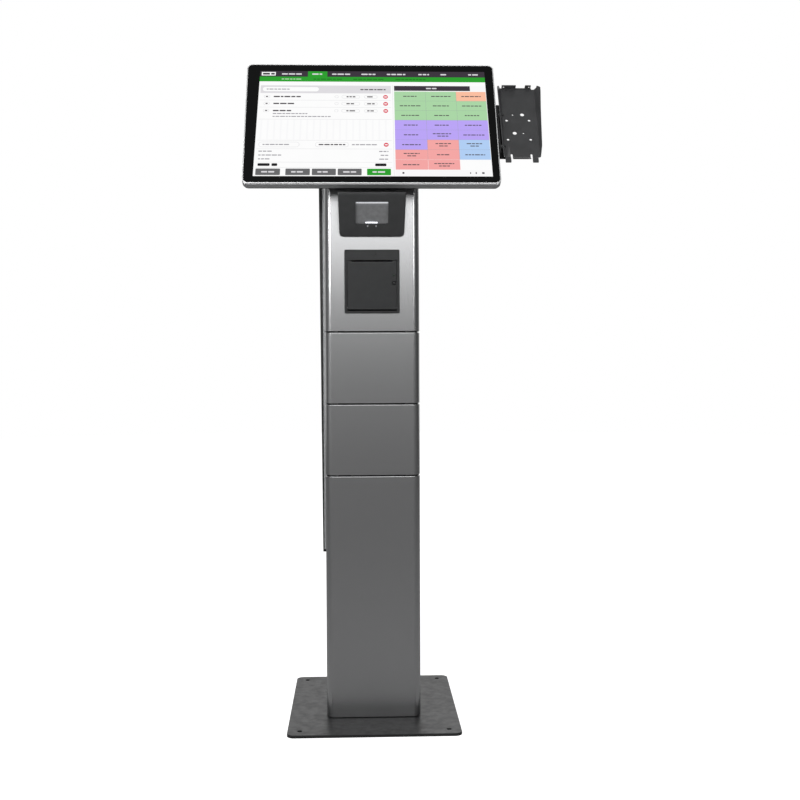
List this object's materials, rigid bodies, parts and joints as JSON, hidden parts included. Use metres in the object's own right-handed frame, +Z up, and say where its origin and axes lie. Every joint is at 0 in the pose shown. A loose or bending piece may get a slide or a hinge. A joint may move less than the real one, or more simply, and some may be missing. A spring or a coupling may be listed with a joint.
{
  "type": "self-service payment kiosk",
  "caption": "Free-standing payment kiosk: tilting touch display on a slim panelled column, code scanner, receipt printer and an open side cradle for a card terminal.",
  "frame": {"origin": "centre of the base plate's underside, on the floor", "axes": "+Z up, the display and printer face -Y, +X towards the card terminal cradle"},
  "size_m": [0.605, 0.418, 1.3638],
  "materials": {
    "silver_paint": "satin metallic silver-grey powder coat",
    "black_paint": "fine-textured black powder coat",
    "charcoal_paint": "satin dark grey powder coat on folded sheet steel",
    "black_plastic": "fine-textured black moulded plastic",
    "cover_glass": "gloss black edge-to-edge cover glass",
    "screen": "backlit panel showing a plain till layout",
    "smoked_window": "smoked grey scan window",
    "zinc_steel": "zinc-plated sheet steel",
    "bright_steel": "bright zinc-plated fasteners and pins",
    "dark_alloy": "dark grey anodised aluminium",
    "black_rubber": "matt black rubber",
    "grey_foam": "light grey closed-cell foam strip",
    "receipt_paper": "thermal receipt paper",
    "circuit_board": "green solder-masked board",
    "white_light": "frosted white light window",
    "green_light": "clear green indicator"
  },
  "bodies": {
    "kiosk_stand": {"base_plate": "black_paint", "foot_flange": "zinc_steel", "foot_bolt_1": "bright_steel", "foot_bolt_2": "bright_steel", "foot_bolt_3": "bright_steel", "foot_bolt_4": "bright_steel", "chassis_post_left": "zinc_steel", "chassis_post_right": "zinc_steel", "chassis_shelf_lower": "zinc_steel", "chassis_shelf_upper": "zinc_steel", "panel_lower": "silver_paint", "panel_mid_lower": "silver_paint", "panel_mid_upper": "silver_paint", "panel_upper": "silver_paint", "column_cap": "black_paint", "cable_grommet": "black_rubber", "rear_cover_lower": "black_paint", "hinge_leaf_lower": "bright_steel", "hinge_leaf_upper": "bright_steel", "hinge_pin_lower": "bright_steel", "hinge_pin_upper": "bright_steel", "power_supply": "dark_alloy", "mains_inlet": "black_plastic", "mains_cable": "black_rubber", "scanner_housing": "black_plastic", "scanner_window": "smoked_window", "scanner_engine": "dark_alloy", "scanner_led_bar": "white_light", "scanner_indicator_left": "white_light", "scanner_indicator_right": "white_light", "printer_bezel": "black_plastic", "printer_door_pin": "bright_steel", "printer_frame": "zinc_steel", "print_head": "dark_alloy", "tear_bar": "bright_steel", "tilt_bracket": "charcoal_paint", "tilt_pin_left": "bright_steel", "tilt_pin_right": "bright_steel"},
    "display_head": {"display_frame": "dark_alloy", "display_glass": "cover_glass", "lcd_panel": "screen", "display_rear_cover": "black_plastic", "mainboard": "circuit_board", "speaker_left": "black_plastic", "speaker_right": "black_plastic", "tilt_yoke": "charcoal_paint", "cradle_tray": "charcoal_paint", "cradle_arm": "charcoal_paint", "cradle_screw_upper": "charcoal_paint", "cradle_screw_lower": "charcoal_paint"},
    "printer_door": {"printer_door": "black_plastic", "status_led": "green_light"},
    "platen": {"platen_roller": "black_rubber"},
    "paper_roll": {"paper_roll": "receipt_paper"},
    "feed_button": {"feed_button": "black_plastic"},
    "rear_door": {"rear_door": "black_paint", "door_seal": "grey_foam", "lock_barrel": "bright_steel"},
    "lock_cam": {"lock_cam": "bright_steel"},
    "mains_rocker": {"rocker_switch": "black_plastic"}
  },
  "joints": [
    {"name": "display_tilt", "type": "hinge", "parent": "kiosk_stand", "child": "display_head", "pos_m": [0, -0.06127, 1.20137], "axis": [-1, 0, 0], "range_deg": [-2, 20]},
    {"name": "printer_door_hinge", "type": "hinge", "parent": "kiosk_stand", "child": "printer_door", "pos_m": [0, -0.1005, 0.855], "axis": [1, 0, 0], "range_deg": [0, 80]},
    {"name": "platen_spin", "type": "hinge", "parent": "printer_door", "child": "platen", "pos_m": [0, -0.091, 0.942], "axis": [1, 0, 0], "continuous": true},
    {"name": "paper_roll_spin", "type": "hinge", "parent": "kiosk_stand", "child": "paper_roll", "pos_m": [0, -0.054, 0.8925], "axis": [1, 0, 0], "continuous": true},
    {"name": "feed_button_press", "type": "slide", "parent": "printer_door", "child": "feed_button", "axis": [0, 1, 0], "range_m": [0, 0.0012], "stiffness_N_per_m": 400},
    {"name": "rear_door_hinge", "type": "hinge", "parent": "kiosk_stand", "child": "rear_door", "pos_m": [0.0975, 0.0417, 0.74], "axis": [0, 0, -1], "range_deg": [0, 110]},
    {"name": "lock_turn", "type": "hinge", "parent": "rear_door", "child": "lock_cam", "pos_m": [-0.058, 0.0363, 0.74], "axis": [0, 1, 0], "range_deg": [0, 90]},
    {"name": "mains_switch_rock", "type": "hinge", "parent": "kiosk_stand", "child": "mains_rocker", "pos_m": [0.04, 0.0393, 0.075], "axis": [1, 0, 0], "range_deg": [0, 16]}
  ],
  "couplings": [
    {"joint": "platen_spin", "follows": "paper_roll_spin", "ratio": -5.1667}
  ]
}
